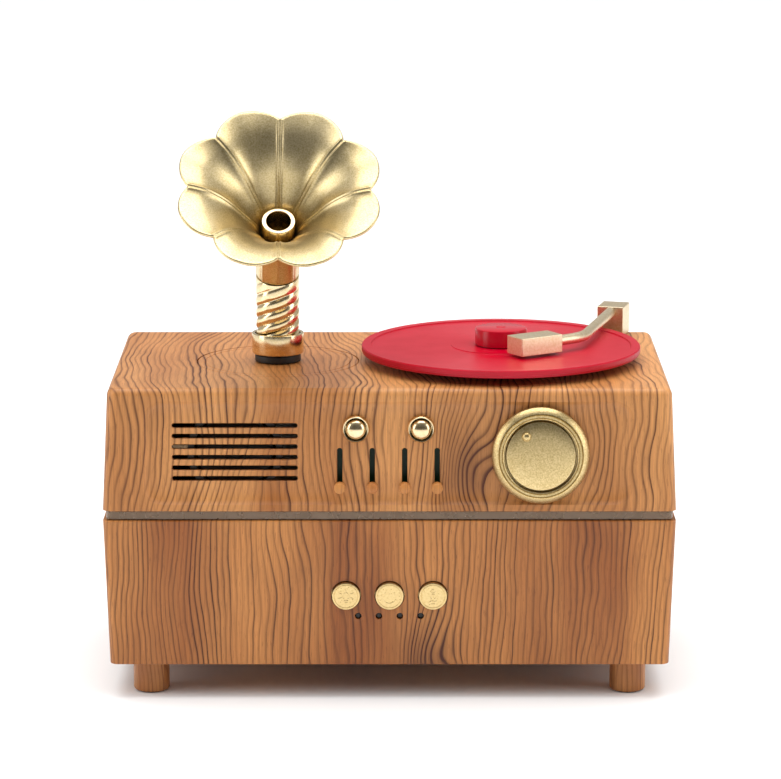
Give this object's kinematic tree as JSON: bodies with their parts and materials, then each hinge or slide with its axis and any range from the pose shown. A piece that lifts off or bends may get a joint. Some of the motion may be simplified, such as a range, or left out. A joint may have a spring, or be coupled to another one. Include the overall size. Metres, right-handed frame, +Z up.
{
  "type": "gramophone style mist diffuser with loudspeaker",
  "caption": "Wood-look tabletop case with a swivelling flower horn that lets out mist, a turning red record, a swinging tone arm, a front dial, sliders and press buttons.",
  "frame": {"origin": "on the surface the feet stand on, under the middle of the object's floor plan", "axes": "+X to the right seen from the front, -Y out of the front panel, +Z up"},
  "size_m": [0.17, 0.1002, 0.1718],
  "materials": {
    "upper_wood": "satin orange-brown wood-grain print, grain upright on the front",
    "lower_wood": "satin redder brown wood-grain print, grain upright",
    "satin_gold": "fine sandblasted champagne gold",
    "polished_gold": "polished champagne gold",
    "red_gloss": "gloss crimson with fine turned grooves",
    "clear_plastic": "translucent, lightly frosted",
    "black_plastic": "plain moulded black",
    "white_plastic": "plain moulded white",
    "rubber": "matt black",
    "circuit_board": "green solder mask",
    "steel": "plain plated"
  },
  "bodies": {
    "case": {"upper_case": "upper_wood", "lower_case": "lower_wood", "light_band": "clear_plastic", "led_board": "circuit_board", "foot_front_left": "lower_wood", "foot_pad_front_left": "rubber", "case_screw_front_left": "steel", "foot_front_right": "lower_wood", "foot_pad_front_right": "rubber", "case_screw_front_right": "steel", "foot_back_left": "lower_wood", "foot_pad_back_left": "rubber", "case_screw_back_left": "steel", "foot_back_right": "lower_wood", "foot_pad_back_right": "rubber", "case_screw_back_right": "steel", "water_tank": "clear_plastic", "disc_seal": "rubber", "ultrasonic_disc": "steel", "disc_retainer": "white_plastic", "turntable_motor": "steel", "tonearm_pin": "steel", "speaker_frame": "black_plastic", "dome_ring_left": "polished_gold", "dome_ring_right": "polished_gold", "control_board": "circuit_board", "dial_potentiometer": "steel", "button_board": "circuit_board", "indicator_lights": "black_plastic", "blower_housing": "black_plastic", "air_duct": "clear_plastic", "main_board": "circuit_board", "power_inlet": "steel"},
    "lid": {"tank_lid": "upper_wood", "swivel_washer": "black_plastic", "collar": "polished_gold"},
    "horn": {"horn_stem": "polished_gold", "swivel_clip": "steel", "horn_bell": "satin_gold", "nozzle_tube": "polished_gold"},
    "turntable": {"record": "red_gloss", "record_hub": "red_gloss"},
    "tonearm": {"tonearm_tube": "polished_gold", "tonearm_block": "polished_gold", "headshell": "polished_gold"},
    "cone": {"speaker_cone": "black_plastic"},
    "dome_left": {"dome_button_left": "polished_gold"},
    "dome_right": {"dome_button_right": "polished_gold"},
    "slider_1": {"slider_peg_1": "upper_wood"},
    "slider_2": {"slider_peg_2": "upper_wood"},
    "slider_3": {"slider_peg_3": "upper_wood"},
    "slider_4": {"slider_peg_4": "upper_wood"},
    "dial": {"dial_ring": "satin_gold", "dial_cap": "satin_gold", "dial_shaft": "steel"},
    "lamp": {"lamp_button": "polished_gold"},
    "power": {"power_button": "polished_gold"},
    "mist": {"mist_button": "polished_gold"},
    "impeller": {"blower_impeller": "black_plastic"}
  },
  "joints": [
    {"name": "lid_lift", "type": "slide", "parent": "case", "child": "lid", "axis": [0, 0, 1], "range_m": [0, 0.02]},
    {"name": "horn_swivel", "type": "hinge", "parent": "lid", "child": "horn", "pos_m": [-0.0341, -0.00088, 0.0946], "axis": [0, 0, 1], "continuous": true},
    {"name": "record_spin", "type": "hinge", "parent": "case", "child": "turntable", "pos_m": [0.03405, 0.00057, 0.0946], "axis": [0, 0, 1], "continuous": true},
    {"name": "tonearm_swing", "type": "hinge", "parent": "case", "child": "tonearm", "pos_m": [0.0709, 0.04152, 0.0946], "axis": [0, 0, 1], "range_deg": [-4, 28]},
    {"name": "cone_travel", "type": "slide", "parent": "case", "child": "cone", "axis": [0, 0.9989, -0.046], "range_m": [-0.0005, 0.0005], "stiffness_N_per_m": 500},
    {"name": "dome_left_press", "type": "slide", "parent": "case", "child": "dome_left", "axis": [0, 0.9989, -0.046], "range_m": [0, 0.0012], "stiffness_N_per_m": 300, "springref_m": -0.001},
    {"name": "dome_right_press", "type": "slide", "parent": "case", "child": "dome_right", "axis": [0, 0.9989, -0.046], "range_m": [0, 0.0012], "stiffness_N_per_m": 300, "springref_m": -0.001},
    {"name": "slider_1_travel", "type": "slide", "parent": "case", "child": "slider_1", "axis": [0, 0.046, 0.9989], "range_m": [0, 0.0108]},
    {"name": "slider_2_travel", "type": "slide", "parent": "case", "child": "slider_2", "axis": [0, 0.046, 0.9989], "range_m": [0, 0.0108]},
    {"name": "slider_3_travel", "type": "slide", "parent": "case", "child": "slider_3", "axis": [0, 0.046, 0.9989], "range_m": [0, 0.0108]},
    {"name": "slider_4_travel", "type": "slide", "parent": "case", "child": "slider_4", "axis": [0, 0.046, 0.9989], "range_m": [0, 0.0108]},
    {"name": "dial_turn", "type": "hinge", "parent": "case", "child": "dial", "pos_m": [0.04462, -0.0449, 0.07498], "axis": [0, 0.9989, -0.046], "range_deg": [-112, 188]},
    {"name": "lamp_press", "type": "slide", "parent": "case", "child": "lamp", "axis": [0, 0.9995, 0.033], "range_m": [0, 0.0008], "stiffness_N_per_m": 300, "springref_m": -0.001},
    {"name": "power_press", "type": "slide", "parent": "case", "child": "power", "axis": [0, 0.9995, 0.033], "range_m": [0, 0.0008], "stiffness_N_per_m": 300, "springref_m": -0.001},
    {"name": "mist_press", "type": "slide", "parent": "case", "child": "mist", "axis": [0, 0.9995, 0.033], "range_m": [0, 0.0008], "stiffness_N_per_m": 300, "springref_m": -0.001},
    {"name": "impeller_spin", "type": "hinge", "parent": "case", "child": "impeller", "pos_m": [0.045, -0.01278, 0.018], "axis": [0, 0, 1], "continuous": true}
  ]
}
